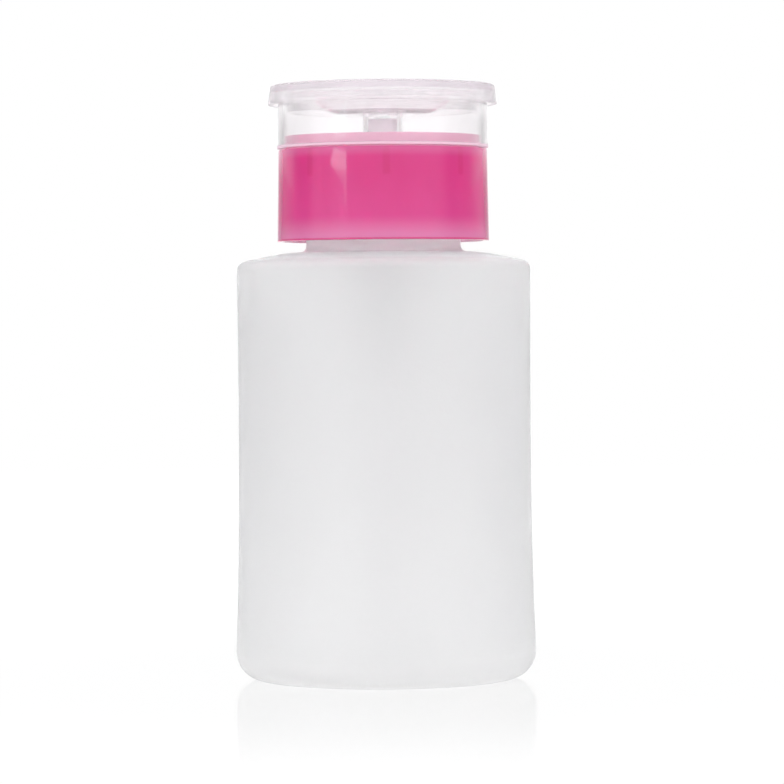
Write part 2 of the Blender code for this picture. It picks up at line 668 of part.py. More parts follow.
def cap_keys(helpers):
    """Ribs outside the screw cap that stop the collar ring from turning on it."""
    root = CAP_RADIUS - CAP_WALL / 2
    reach = COLLAR_RADIUS - RING_WALL - SEAT_GAP
    top = LEDGE_Z - LEDGE_THICKNESS - SEAT_GAP
    size = (reach - root, KEY_WIDTH, KEY_HEIGHT)
    middle = Matrix.Translation(((reach + root) / 2, 0, top - KEY_HEIGHT / 2))
    angles = [KEY_PHASE + math.tau * i / KEY_COUNT for i in range(KEY_COUNT)]
    return boxes("cap_keys", size, [Matrix.Rotation(a, 4, "Z") @ middle for a in angles], helpers)


def make_collar_ring(parts):
    """The pink shell over the cap, with the ledge and the snap ring for the lid."""
    deck_top = RING_DECK_Z + RING_DECK
    ledge_under = LEDGE_Z - LEDGE_THICKNESS
    well = SNAP_RADIUS - RING_WIDTH
    foot = COLLAR_RADIUS + COLLAR_FLARE
    cap_room = CAP_RADIUS + SEAT_GAP
    outline = [
        (DECK_HOLE, deck_top),
        (well, deck_top),
        (well, RING_TOP_Z),
        (SNAP_RADIUS, RING_TOP_Z),
        (SNAP_RADIUS, LEDGE_Z),
        (COLLAR_RADIUS, LEDGE_Z),
        (foot, COLLAR_FOOT_Z),
        (foot - RING_WALL, COLLAR_FOOT_Z),
        (COLLAR_RADIUS - RING_WALL, ledge_under),
        (cap_room, ledge_under),
        (cap_room, RING_DECK_Z),
        (DECK_HOLE, RING_DECK_Z),
    ]
    return turned("collar_ring", outline, "pink_plastic", parts, RING_DECK_Z, WIDE_STEPS)


def make_lid(parts):
    """The clear lid: a tube over the snap ring under a flat top with a flared grip rim."""
    rim = LID_RADIUS + RIM_OVERHANG
    bead = LID_RADIUS + LID_BEAD
    rim_foot_z = LID_TOP_Z - RIM_HEIGHT
    outline = [
        (0, LID_TOP_Z),
        (rim - RIM_ROUND, LID_TOP_Z),
        (rim, LID_TOP_Z - RIM_ROUND),
        (rim + RIM_FLARE, rim_foot_z),
        (LID_RADIUS, rim_foot_z),
        (LID_RADIUS, LID_FOOT_Z + LID_BEAD_HEIGHT),
        (bead, LID_FOOT_Z + LID_BEAD_HEIGHT / 2),
        (bead, LID_FOOT_Z),
        (LID_BORE, LID_FOOT_Z),
        (LID_BORE, LID_UNDERSIDE_Z),
        (0, LID_UNDERSIDE_Z),
    ]
    return turned("lid", outline, "clear_plastic", parts, LID_FOOT_Z, WIDE_STEPS)


def carry(name, height, pieces, parts):
    """Parents the pieces that move together to an empty on the axis."""
    empty = bpy.data.objects.new(name, None)
    empty.location.z = height
    parts.objects.link(empty)
    for piece in pieces:
        piece.parent = empty
        piece.location.z -= height


def main():
    clear_scene()
    parts = new_collection("pump_dispenser_bottle")
    helpers = new_collection("cutters")
    make_bottle(parts, helpers)
    pump = [make_neck_gasket(parts), make_pump_housing(parts), make_dip_tube(parts)]
    pump += [make_inlet_ball(parts), make_return_spring(parts), make_stem_guide(parts)]
    press_head = [make_piston(parts), make_pump_stem(parts), make_press_dish(parts)]
    press_head += [make_outlet_ball(parts), make_outlet_cap(parts, helpers)]
    closure = [make_screw_cap(parts, helpers), make_collar_ring(parts)]
    carry("pump_carrier", HOUSING_Z, pump, parts)
    carry("press_head_carrier", DISH_FOOT_Z, press_head, parts)
    carry("closure_carrier", CAP_DECK_Z, closure, parts)
    carry("lid_carrier", LID_FOOT_Z, [make_lid(parts)], parts)


main()
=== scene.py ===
import math

import bpy
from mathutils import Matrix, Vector


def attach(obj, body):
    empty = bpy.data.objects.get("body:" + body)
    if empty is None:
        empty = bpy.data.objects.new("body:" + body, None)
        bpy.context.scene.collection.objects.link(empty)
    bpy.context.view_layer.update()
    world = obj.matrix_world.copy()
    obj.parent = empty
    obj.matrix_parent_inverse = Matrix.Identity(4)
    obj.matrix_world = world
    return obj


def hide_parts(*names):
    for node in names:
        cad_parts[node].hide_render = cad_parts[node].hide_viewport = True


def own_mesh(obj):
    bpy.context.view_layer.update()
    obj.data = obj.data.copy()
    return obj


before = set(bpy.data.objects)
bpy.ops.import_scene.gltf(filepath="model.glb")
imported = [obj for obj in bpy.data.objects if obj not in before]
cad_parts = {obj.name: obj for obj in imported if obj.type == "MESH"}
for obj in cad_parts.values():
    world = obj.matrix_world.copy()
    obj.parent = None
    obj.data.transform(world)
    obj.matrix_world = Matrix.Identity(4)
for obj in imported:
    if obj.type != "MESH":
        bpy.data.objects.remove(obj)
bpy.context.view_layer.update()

mm = 0.001  # the values of the pieces are in millimetres
weldDistance = 0.002 * mm


# Small tools for modelling


def clearSelection():
    if bpy.context.object and bpy.context.object.mode != "OBJECT":
        bpy.ops.object.mode_set(mode="OBJECT")
    bpy.ops.object.select_all(action="DESELECT")


def pick(piece):
    clearSelection()
    piece.select_set(True)
    bpy.context.view_layer.objects.active = piece


def placed(name):
    # names the new primitive and puts its place into its mesh
    piece = bpy.context.object
    piece.name = piece.data.name = name
    bpy.ops.object.transform_apply(location=True, rotation=True, scale=True)
    return piece


def applyModifier(piece, kind, **settings):
    pick(piece)
    bpy.ops.object.modifier_add(type=kind)
    modifier = piece.modifiers[-1]
    for key, value in settings.items():
        setattr(modifier, key, value)
    bpy.ops.object.modifier_apply(modifier=modifier.name)


def turn(name, outline, steps=144):
    # a circle of the outline's first radius, drawn out ring by ring along (radius, height) points in mm
    clearSelection()
    onAxis = outline[0][0] == 0
    (radius, height), *others = outline[1:] if onAxis else outline
    bpy.ops.mesh.primitive_circle_add(
        vertices=steps, radius=radius * mm, location=(0, 0, height * mm),
        fill_type="TRIFAN" if onAxis else "NOTHING",
    )
    piece = placed(name)
    bpy.ops.object.mode_set(mode="EDIT")
    bpy.ops.mesh.select_mode(type="EDGE")
    bpy.ops.mesh.select_all(action="DESELECT")
    bpy.ops.mesh.select_non_manifold()
    for nextRadius, nextHeight in others:
        bpy.ops.mesh.extrude_edges_move(TRANSFORM_OT_translate={"value": (0, 0, (nextHeight - height) * mm)})
        if nextRadius == 0:
            bpy.ops.mesh.merge(type="CENTER")
        else:
            grow = nextRadius / radius
            bpy.ops.transform.resize(value=(grow, grow, 1), center_override=(0, 0, 0))
            radius = nextRadius
        height = nextHeight
    if not onAxis:
        bpy.ops.mesh.select_all(action="DESELECT")
        bpy.ops.mesh.select_non_manifold()
        bpy.ops.mesh.bridge_edge_loops()
    bpy.ops.mesh.select_all(action="SELECT")
    bpy.ops.mesh.normals_make_consistent(inside=False)
    bpy.ops.object.mode_set(mode="OBJECT")
    return piece


def roundEdges(piece, width, segments=3, sharperThan=24):
    applyModifier(
        piece, "BEVEL", width=width * mm, segments=segments,
        limit_method="ANGLE", angle_limit=math.radians(sharperThan),
    )


def smooth(piece, upTo=35):
    pick(piece)
    bpy.ops.object.shade_smooth_by_angle(angle=math.radians(upTo))
    applyModifier(piece, "WEIGHTED_NORMAL", keep_sharp=True)


def merge(piece, tool, operation):
    # joins the tool to the piece, or cuts it out
    applyModifier(piece, "BOOLEAN", operation=operation, solver="EXACT", object=tool)
    bpy.data.objects.remove(tool)


def arc(centreRadius, centreHeight, radius, start, end, steps):
    # points of a round in an outline, from one angle to another: 0 is outwards, 90 is up
    angles = [math.radians(start + (end - start) * i / steps) for i in range(steps + 1)]
    return [(centreRadius + radius * math.cos(a), centreHeight + radius * math.sin(a)) for a in angles]


def spread(first, last, steps):
    return [first + (last - first) * i / steps for i in range(steps + 1)]


def helix(name, radius, height, section, turns, pitch, startTurn=0.0, sectionSides=12, stepsPerTurn=96):
    # a round wire, or ridge, wound up the axis
    clearSelection()
    bpy.ops.mesh.primitive_circle_add(
        vertices=sectionSides, radius=section * mm, location=(radius * mm, 0, height * mm),
        rotation=(math.pi / 2, 0, 0),
    )
    piece = placed(name)
    piece.rotation_euler.z = math.tau * startTurn
    bpy.ops.object.transform_apply(location=True, rotation=True, scale=True)
    steps = round(turns * stepsPerTurn)
    applyModifier(
        piece, "SCREW", angle=math.tau * turns, screw_offset=pitch * turns * mm,
        steps=steps, render_steps=steps,
    )
    return piece


def capEnds(piece):
    # welds the lengths of a wound wire and closes its two ends
    pick(piece)
    bpy.ops.object.mode_set(mode="EDIT")
    bpy.ops.mesh.select_mode(type="EDGE")
    bpy.ops.mesh.select_all(action="SELECT")
    bpy.ops.mesh.remove_doubles(threshold=weldDistance)
    bpy.ops.mesh.select_all(action="DESELECT")
    bpy.ops.mesh.select_non_manifold()
    bpy.ops.mesh.fill_holes(sides=0)
    bpy.ops.mesh.select_all(action="SELECT")
    bpy.ops.mesh.normals_make_consistent(inside=False)
    bpy.ops.object.mode_set(mode="OBJECT")


def threadRidge(name, radius, height, turns, startTurn):
    # a rounded ridge along the helix, slimmer towards its ends
    sides = 12
    ridge = helix(name, radius, height, thread["section"], turns, thread["pitch"], startTurn, sides)
    points = ridge.data.vertices
    rings = len(points) // sides
    for i in range(rings):
        ring = points[i * sides:(i + 1) * sides]
        middle = sum((v.co for v in ring), Vector()) / sides
        share = min(1, thread["tip"] + min(i, rings - 1 - i) / (rings - 1) / thread["taper"])
        for v in ring:
            v.co = middle + (v.co - middle) * share
    capEnds(ridge)
    return ridge


def finished(piece, body, slot, material, *replaced):
    piece.data.materials.clear()
    piece.data.materials.append(material)
    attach(piece, body)
    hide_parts(*replaced)
    print(f"{piece.name}: {len(piece.data.polygons)} faces, rides on {body}")


# Materials: a socket that takes part in sums, and one way to add any other node


class Wire:
    def __init__(self, socket):
        self.socket = socket

    def node(self, kind, settings, sockets, result=0):
        made = self.socket.id_data.nodes.new(kind)
        for key, value in settings.items():
            setattr(made, key, value)
        for key, value in sockets.items():
            if isinstance(value, Wire):
                self.socket.id_data.links.new(value.socket, made.inputs[key])
            else:
                made.inputs[key].default_value = value
        return Wire(made.outputs[result])

    def math(self, operation, first, second=0.0):
        return self.node("ShaderNodeMath", {"operation": operation}, {0: first, 1: second})

    def __add__(self, other):
        return self.math("ADD", self, other)

    def __radd__(self, other):
        return self.math("ADD", other, self)

    def __sub__(self, other):
        return self.math("SUBTRACT", self, other)

    def __rsub__(self, other):
        return self.math("SUBTRACT", other, self)

    def __mul__(self, other):
        return self.math("MULTIPLY", self, other)

    def __rmul__(self, other):
        return self.math("MULTIPLY", other, self)

    def stretch(self, fromLow, fromHigh, toLow=0.0, toHigh=1.0):
        # maps one range to another and stays inside it
        return self.node(
            "ShaderNodeMapRange", {"interpolation_type": "SMOOTHSTEP"},
            {"Value": self, "From Min": fromLow, "From Max": fromHigh, "To Min": toLow, "To Max": toHigh},
        )

    def band(self, riseFrom, riseTo, fallFrom, fallTo):
        # 1 inside a band and 0 outside it, with a fade at either side
        return self.stretch(riseFrom, riseTo) * self.stretch(fallFrom, fallTo, 1, 0)

    def into(self, shader, name):
        self.socket.id_data.links.new(self.socket, shader.inputs[name])


def newMaterial(name, **sockets):
    # a Principled material with those constant values, and a wire to build its pattern from
    material = bpy.data.materials.new(name)
    material.use_nodes = True
    shader = material.node_tree.nodes["Principled BSDF"]
    for key, value in sockets.items():
        shader.inputs[key.replace("_", " ")].default_value = value
    place = Wire(shader.outputs[0]).node("ShaderNodeTexCoord", {}, {}, "Object")
    return material, shader, place


def noise(place, size, detail=3.0, roughness=0.55, squeeze=(1, 1, 1)):
    # noise whose grains are about that many millimetres wide
    stretched = place.node("ShaderNodeVectorMath", {"operation": "MULTIPLY"}, {0: place, 1: squeeze})
    return place.node(
        "ShaderNodeTexNoise", {},
        {"Vector": stretched, "Scale": 1 / (size * mm), "Detail": detail, "Roughness": roughness},
    )


def inMm(place):
    return place.node("ShaderNodeVectorMath", {"operation": "SCALE"}, {0: place, "Scale": 1 / mm})


def split(vector):
    across = vector.node("ShaderNodeSeparateXYZ", {}, {0: vector}, "X")
    return across, *[Wire(across.socket.node.outputs[name]) for name in "YZ"]


def fromAxis(across, along):
    return across.math("SQRT", across * across + along * along)


def tint(place, mask, low, high):
    # from one tone to the other as the mask goes from 0 to 1: each is a wire or three numbers
    low, high = [tone if isinstance(tone, Wire) else (*tone, 1) for tone in (low, high)]
    return place.node("ShaderNodeMix", {"data_type": "RGBA"}, {0: mask, 6: low, 7: high}, 2)


def bump(place, height, depth):
    return place.node("ShaderNodeBump", {}, {"Height": height, "Strength": 1.0, "Distance": depth * mm})


def principled(place, **sockets):
    # a second shader, to be mixed with a material's own
    named = {key.replace("_", " "): value for key, value in sockets.items()}
    return place.node("ShaderNodeBsdfPrincipled", {}, named)


def mixInto(out, mask, first, second):
    first.node("ShaderNodeMixShader", {}, {0: mask, 1: first, 2: second}).into(out, "Surface")


def emptyTree(owner, outputKind):
    # the node tree of a material or a world with nothing but its output, and a wire to build from
    owner.use_nodes = True
    tree = owner.node_tree
    tree.nodes.clear()
    out = tree.nodes.new(outputKind)
    return out, Wire(out.inputs["Surface"])


def clearPlastic(name, roughness, haze):
    # clear moulded plastic with a slight veil, and its roughness, which its piece may still add to
    material, shader, place = newMaterial(name, Transmission_Weight=1.0 - haze, IOR=1.49)
    flow = noise(place, 7, 3)
    speck = noise(place, 0.6, 2)
    tone = tint(place, flow.stretch(0.3, 0.7), (0.998, 0.996, 0.998), (0.993, 0.988, 0.992))
    tone.into(shader, "Base Color")
    bump(place, flow * 0.7 + speck * 0.3, 0.001).into(shader, "Normal")
    return material, shader, place, roughness + 0.03 * speck + 0.03 * flow


def dishPlastic():
    material, shader, _, rough = clearPlastic("dishPlastic", roughness=0.04, haze=0.03)
    rough.into(shader, "Roughness")
    return material


def naturalPlastic(name, light, dark):
    # uncoloured polypropylene of the pump and the inner cap
    material, shader, place = newMaterial(name, Transmission_Weight=0.6, IOR=1.49)
    flow = noise(place, 5, 3, squeeze=(1, 1, 0.4))
    speck = noise(place, 0.5, 2)
    tint(place, flow.stretch(0.3, 0.7), light, dark).into(shader, "Base Color")
    (0.3 + 0.12 * speck + 0.06 * flow).into(shader, "Roughness")
    bump(place, flow * 0.6 + speck * 0.4, 0.02).into(shader, "Normal")
    return material


def softSeal():
    # matt elastomer of the gasket and the piston
    material, shader, place = newMaterial("softSeal", IOR=1.45)
    cloud = noise(place, 3, 3)
    grain = noise(place, 0.25, 3)
    tint(place, cloud.stretch(0.3, 0.7), (0.83, 0.82, 0.80), (0.76, 0.755, 0.74)).into(shader, "Base Color")
    (0.52 + 0.2 * grain).into(shader, "Roughness")
    bump(place, grain, 0.03).into(shader, "Normal")
    return material


def springSteel():
    # drawn stainless wire: fine lines along it and a few duller patches
    material, shader, place = newMaterial("springSteel", Metallic=1.0)
    lines = noise(place, 0.18, 3, squeeze=(1, 1, 6))
    patch = noise(place, 2.2, 3)
    tint(place, patch.stretch(0.35, 0.65), (0.66, 0.655, 0.65), (0.53, 0.53, 0.54)).into(shader, "Base Color")
    (0.2 + 0.12 * lines + 0.1 * patch).into(shader, "Roughness")
    bump(place, lines, 0.012).into(shader, "Normal")
    return material


def valveGlass():
    # ground glass balls, faintly green
    material, shader, place = newMaterial("valveGlass", Transmission_Weight=0.85, IOR=1.52)
    cloud = noise(place, 1.2, 2)
    grain = noise(place, 0.2, 2)
    tint(place, cloud, (0.86, 0.93, 0.90), (0.80, 0.89, 0.86)).into(shader, "Base Color")
    (0.06 + 0.1 * grain).into(shader, "Roughness")
    bump(place, grain, 0.008).into(shader, "Normal")
    return material


dishClear = dishPlastic()
natural = naturalPlastic("naturalPlastic", light=(0.997, 0.994, 0.996), dark=(0.988, 0.98, 0.986))
seal = softSeal()
steel = springSteel()
glass = valveGlass()
print("materials made")


# Bottle

thread = {
    "pitch": 4.23,
    "section": 0.952,
    "neckRadius": 15.048,
    "neckStart": 87.6,
    "neckTurns": 1.502,
    "capRadius": 16.052,
    "capZero": 85.485,
    "capFirstTurn": 0.25,
    "capTurns": 1.156,
    "tip": 0.3,  # the ridge starts this slim
    "taper": 0.12,  # and is full after this share of its length
}

bottle = {
    "wall": 0.9,
    "bodyRadius": 27.95,
    "swell": 0.65,  # how far the heel stands out
    "waist": 0.15,  # how far the middle is drawn in
    "heelCorner": 5.4,
    "shoulderHeight": 79.8,
    "shoulderCorner": 1.9,
    "shoulderRise": 1.6,
    "neckRadius": 14.7,
    "neckBore": 12.7,
    "neckFillet": 1.2,
    "lipHeight": 95.55,
    "standingInner": 20.4,
    "recess": 2.0,
    "recessRadius": 17.0,
    "crown": [(14.0, 0.02), (7.0, 0.1), (0.0, 0.12)],  # the push-up is a little domed: radius and rise
    "domeShare": 0.94,  # the dome goes this share of the way to the corner
    "cornerStart": 76,  # degrees up from the side, where the corner's round begins
    "heelCurve": 4,  # the swell grows with this power towards the heel
    "edge": 0.35,
}

frost = {  # where it changes, as heights above the floor or from the shoulder's, and its tones, several of them painted light
    # painted light: the body is painted lighter towards the floor, fading out up to the second height
    "floorLightFade": (-30.0, 62.0),
    # painted light: a lighter band under the shoulder
    "shoulderLightBand": (-13.8, -5.8, -2.8, -1.3),
    "shoulder": (-0.6, 0.8),
    "milkyNeck": (0.9, 1.5),
    "neck": (2.4, 3.1),
    "floorLitTone": (0.974, 0.974, 0.975),
    "milkyTone": (0.902, 0.900, 0.905),
    # painted light: the shoulder and the neck are painted lighter, and the shoulder less pink, against the
    # collar's shade and reflection
    "shoulderLitTone": (0.94, 0.984, 0.979),
    "neckLitTone": (0.99, 0.998, 0.995),
    "neckDepthTone": (0.99, 0.994, 0.994),
    "neckDepth": 4.0,  # how far light spreads inside the neck
    "neckShare": 0.6,  # how much of the neck is milky
}


def frostedPlastic():
    # blow-moulded natural polyethylene: milky, with a fine matt skin and slow changes in thickness; painted
    # light makes it lighter towards the floor, in a band under the shoulder, and on the shoulder and neck
    f = frost
    material, shader, place = newMaterial(
        "frostedPolyethylene", Transmission_Weight=0.8, IOR=1.5, Specular_IOR_Level=0.4,
    )
    cloud = noise(place, 24, 2, squeeze=(1, 1, 0.45))
    grain = noise(place, 0.5, 4)
    height = split(inMm(place))[2]
    aboveShoulder = height - bottle["shoulderHeight"]
    # painted light: lighter towards the floor and in a band under the shoulder
    unlitShare = height.stretch(*f["floorLightFade"]) * 0.85 + cloud.stretch(0.3, 0.7) * 0.15
    unlitShare = unlitShare - aboveShoulder.band(*f["shoulderLightBand"]) * 0.25
    shoulder = aboveShoulder.stretch(*f["shoulder"])
    neck = aboveShoulder.stretch(*f["neck"])
    body = tint(place, unlitShare, f["floorLitTone"], f["milkyTone"])
    # painted light on the shoulder and the neck
    upper = tint(place, neck, f["shoulderLitTone"], f["neckLitTone"])
    tint(place, shoulder, body, upper).into(shader, "Base Color")
    (0.42 + 0.12 * grain + 0.05 * cloud - 0.1 * neck + 0.2 * shoulder * (1 - neck)).into(shader, "Roughness")
    bump(place, grain * 0.6 + noise(place, 3.5, 2) * 0.9, 0.05).into(shader, "Normal")
    milky = principled(
        place, Base_Color=(*f["neckDepthTone"], 1), Roughness=0.5, IOR=1.5, Subsurface_Weight=1.0,
        Subsurface_Radius=(1, 1, 1), Subsurface_Scale=f["neckDepth"] * mm,
    )
    out = material.node_tree.nodes["Material Output"]
    mixInto(out, aboveShoulder.stretch(*f["milkyNeck"]) * f["neckShare"], Wire(shader.outputs[0]), milky)
    return material


def bottleSkin(inset):
    # the blown shape from the neck's root down to the standing ring, moved in by an inset
    b = bottle
    edge = b["bodyRadius"] - b["shoulderCorner"]
    top = b["shoulderHeight"] - b["shoulderCorner"]
    root = (b["neckBore"] if inset else b["neckRadius"]) + b["neckFillet"]
    skin = []
    for share in spread(0.0, b["domeShare"], steps=10):
        radius = root + (edge - root) * share
        dome = math.cos((radius - b["neckRadius"]) / (edge - b["neckRadius"]) * math.pi / 2)
        skin.append((radius, b["shoulderHeight"] + b["shoulderRise"] * min(dome, 1) - inset))
    skin += arc(edge, top, b["shoulderCorner"] - inset, start=b["cornerStart"], end=0, steps=7)
    for share in spread(1.0, 0.0, steps=24)[1:-1]:
        swell = b["swell"] * (1 - share) ** b["heelCurve"]
        radius = b["bodyRadius"] + swell - b["waist"] * math.sin(math.pi * share)
        skin.append((radius - inset, b["heelCorner"] + (top - b["heelCorner"]) * share))
    heel = b["bodyRadius"] + b["swell"] - b["heelCorner"]
    skin += arc(heel, b["heelCorner"], b["heelCorner"] - inset, start=0, end=-90, steps=12)
    for share in spread(0.0, 1.0, steps=6):
        radius = b["standingInner"] + (b["recessRadius"] - b["standingInner"]) * share
        skin.append((radius, b["recess"] * (3 - 2 * share) * share ** 2 + inset))
    return skin


def makeBottle():
    b = bottle
    outside = bottleSkin(0)
    inside = bottleSkin(b["wall"])
    fillet = b["neckFillet"]
    rootOut, rootIn = [
        arc(radius + fillet, skin[0][1] + fillet, fillet, start=180, end=270, steps=4)[:-1]
        for radius, skin in ((b["neckRadius"], outside), (b["neckBore"], inside))
    ]
    lip = [(b["neckBore"], b["lipHeight"]), (b["neckRadius"], b["lipHeight"])]
    crown = [(radius, b["recess"] + rise) for radius, rise in b["crown"]]
    outline = [(radius, height + b["wall"]) for radius, height in crown[::-1]] + inside[::-1] + rootIn[::-1]
    outline += lip + rootOut + outside + crown
    piece = turn("bottleFrosted", outline, steps=160)
    roundEdges(piece, b["edge"], sharperThan=50)
    ridge = threadRidge("neckRidge", thread["neckRadius"], thread["neckStart"], thread["neckTurns"], 0)
    merge(piece, ridge, "UNION")
    smooth(piece)
    finished(piece, "bottle", "frosted_polyethylene", frostedPlastic(), "bottle")


makeBottle()


# Screw cap inside the collar

screwCap = {
    "outer": 17.3,
    "bore": 16.4,
    "foot": 84.6,
    "deckUnder": 99.95,
    "deckTop": 101.25,
    "hole": 5.61,
    "ribOuter": 14.7,
    "ribInner": 12.9,
    "ribFoot": 98.65,
    "keyCount": 8,
    "keyWidth": 0.8,
    "keyHeight": 3.4,
    "keyTop": 99.3,
    "keyRoot": 16.85,
    "keyReach": 18.6,
    "keyPhase": -88,
    "edge": 0.2,
    "keyEdge": 0.15,
}


def capKeys():
    # one key is modelled and turned round the cap as copies
    c = screwCap
    clearSelection()
    bpy.ops.mesh.primitive_cube_add(
        size=1,
        location=((c["keyRoot"] + c["keyReach"]) / 2 * mm, 0, (c["keyTop"] - c["keyHeight"] / 2) * mm),
        scale=((c["keyReach"] - c["keyRoot"]) * mm, c["keyWidth"] * mm, c["keyHeight"] * mm),
    )
    first = placed("capKeys")
    roundEdges(first, c["keyEdge"], segments=2)
    first.rotation_euler.z = math.radians(c["keyPhase"])
    bpy.ops.object.transform_apply(location=False, rotation=True, scale=False)
    keys = [first]
    for i in range(1, c["keyCount"]):
        copy = first.copy()
        copy.data = first.data.copy()
        bpy.context.scene.collection.objects.link(copy)
        pick(copy)
        copy.rotation_euler.z = math.tau * i / c["keyCount"]
        bpy.ops.object.transform_apply(location=False, rotation=True, scale=False)
        keys.append(copy)
    pick(first)
    for key in keys:
        key.select_set(True)
    bpy.ops.object.join()
    return first


def makeScrewCap():
    c = screwCap
    piece = turn("innerCap", [
        (c["hole"], c["deckTop"]), (c["outer"], c["deckTop"]), (c["outer"], c["foot"]),
        (c["bore"], c["foot"]), (c["bore"], c["deckUnder"]),
        (c["ribOuter"], c["deckUnder"]), (c["ribOuter"], c["ribFoot"]),
        (c["ribInner"], c["ribFoot"]), (c["ribInner"], c["deckUnder"]), (c["hole"], c["deckUnder"]),
    ])
    roundEdges(piece, c["edge"])
    start = thread["capZero"] + thread["pitch"] * thread["capFirstTurn"]
    ridge = threadRidge("capRidge", thread["capRadius"], start, thread["capTurns"], thread["capFirstTurn"])
    merge(piece, ridge, "UNION")
    merge(piece, capKeys(), "UNION")
    smooth(piece)
    finished(piece, "closure", "natural_plastic", natural, "screw_cap")


makeScrewCap()


# Pink collar ring

collar = {
    "deckTop": 102.55,
    "deckUnder": 101.55,
    "hole": 5.61,
    "ringTop": 103.35,
    "ringInner": 17.2,
    "ringOuter": 18.6,
    "ledge": 100.8,
    "ledgeUnder": 99.6,
    "topRadius": 19.9,
    "footRadius": 20.2,
    "foot": 83.4,
    "wall": 1.0,
    "capRoom": 17.6,
    "edge": 0.16,
}

pink = {  # where it changes, as distances from the collar's own heights and radii, and its tones
    "deeper": (3.6, 14.6),
    "litThrough": (0.0, 5.0),  # painted light: no cap backs it at its foot, so it is painted a paler pink as if lit through
    "litBrow": (-2.2, -0.2),  # painted light under its ledge too, as light comes down through the ledge
    "litBrowShare": 0.45,
    "footEdge": (0.2, 0.55),
    "footEdgeRadius": (-0.25, -0.1),
    "snapRing": (-0.05, 0.15),
    "innerSide": (-0.6, -0.3),
    "deck": (-0.1, 0.1),
    "keyShadow": (0.35, 1.0),  # distances from a key's middle between which its shadow ends
    "keyFade": 0.8,  # how far under a key it fades out
    "keyShadowShare": 0.5,
    "lowTone": (0.84, 0.046, 0.33),
    "highTone": (0.82, 0.02, 0.272),
    "keyShadowTone": (0.70, 0.006, 0.18),
    "litThroughTone": (0.87, 0.24, 0.52),
    "footEdgeTone": (0.78, 0.05, 0.26),
    # painted light: the snap ring paler, as seen under the lid's haze, and the inner side and the deck near
    # white, so that the light they throw back is whiter
    "snapRingHazeTone": (0.96, 0.50, 0.70),
    "innerSideTone": (0.98, 0.80, 0.90),
    "deckTone": (0.99, 0.88, 0.94),
}


def overCapKeys(across, along, height):
    # 1 where a key of the screw cap lies behind the collar's wall: the mask of its painted shadow
    c = screwCap
    turned = across.math("ARCTAN2", along, across) * (c["keyCount"] / math.tau)
    firstKey = c["keyCount"] * math.radians(c["keyPhase"]) / math.tau
    keySpacing = math.tau / c["keyCount"] * collar["footRadius"]
    toKey = across.math("PINGPONG", turned - firstKey, 0.5) * keySpacing
    keyFoot = c["keyTop"] - c["keyHeight"]
    return toKey.stretch(*pink["keyShadow"], 1, 0) * height.stretch(keyFoot - pink["keyFade"], keyFoot)


def pinkPlastic():
    # glossy injection-moulded pink, with painted light where no cap backs it and painted shadow over the
    # cap's keys
    c, p = collar, pink
    material, shader, place = newMaterial(
        "pinkPlastic", Transmission_Weight=0.45, IOR=1.48, Specular_IOR_Level=0.3,
        Coat_Weight=0.6, Coat_Roughness=0.02,
    )
    across, along, height = split(inMm(place))
    radius = fromAxis(across, along)
    flow = noise(place, 9, 3, squeeze=(1, 1, 0.3))
    speck = noise(place, 0.7, 2)
    aboveFoot = height - c["foot"]
    aboveLedge = height - c["ledge"]
    fromFootRadius = radius - c["footRadius"]
    litThrough = aboveFoot.stretch(*p["litThrough"], 1, 0) + aboveLedge.stretch(*p["litBrow"], 0, p["litBrowShare"])
    footEdge = aboveFoot.stretch(*p["footEdge"], 1, 0) * fromFootRadius.stretch(*p["footEdgeRadius"])
    snapRing = aboveLedge.stretch(*p["snapRing"])
    depth = flow.stretch(0.3, 0.7) * 0.3 + aboveFoot.stretch(*p["deeper"]) * 0.7
    body = tint(place, depth, p["lowTone"], p["highTone"])
    for mask, tone in [
        (overCapKeys(across, along, height) * p["keyShadowShare"], "keyShadowTone"), (litThrough, "litThroughTone"),
        (footEdge, "footEdgeTone"), (snapRing, "snapRingHazeTone"),
        (fromFootRadius.stretch(*p["innerSide"], 1, 0) * (1 - snapRing), "innerSideTone"),
        ((radius - c["ringInner"]).stretch(*p["deck"], 1, 0), "deckTone"),
    ]:
        body = tint(place, mask, body, p[tone])
    body.into(shader, "Base Color")
    (0.12 + 0.06 * speck + 0.05 * flow).into(shader, "Roughness")
    bump(place, flow * 0.8 + speck * 0.2, 0.006).into(shader, "Normal")
    return material


def makeCollar():
    c = collar
    piece = turn("pinkCollar", [
        (c["hole"], c["deckTop"]), (c["ringInner"], c["deckTop"]), (c["ringInner"], c["ringTop"]),
        (c["ringOuter"], c["ringTop"]), (c["ringOuter"], c["ledge"]), (c["topRadius"], c["ledge"]),
        (c["footRadius"], c["foot"]), (c["footRadius"] - c["wall"], c["foot"]),
        (c["topRadius"] - c["wall"], c["ledgeUnder"]), (c["capRoom"], c["ledgeUnder"]),
        (c["capRoom"], c["deckUnder"]), (c["hole"], c["deckUnder"]),
    ], steps=160)
    roundEdges(piece, c["edge"])
    smooth(piece)
    finished(piece, "closure", "pink_plastic", pinkPlastic(), "collar_ring")


makeCollar()


# Clear lid

lid = {
    "top": 113.05,
    "underside": 111.55,
    "wallOuter": 19.97,
    "wallInner": 18.9,
    "rimTop": 21.37,
    "rimFoot": 21.8,
    "rimFootHeight": 109.4,
    "rimRound": 0.45,
    "bead": 20.12,
    "beadTop": 102.0,
    "foot": 101.1,
    "gate": 1.1,
    "gateDepth": 0.12,
    "gateSlope": 0.15,
    "topRing": 12.0,  # rings of points that keep the two flat faces even
    "undersideRing": 10.0,
    "edge": 0.14,
    "lavender": (0.70, 0.575, 0.675),
    "lavenderDensity": 16.0,
    "footLightVeil": (0.3, 0.6),  # heights above the foot between which its painted light ends
    "footLightShare": 0.8,
    "rimVeilShare": 0.2,
    "footLightTone": (0.97, 0.74, 0.86),
    "rimVeilTone": (0.96, 0.91, 0.95),
}


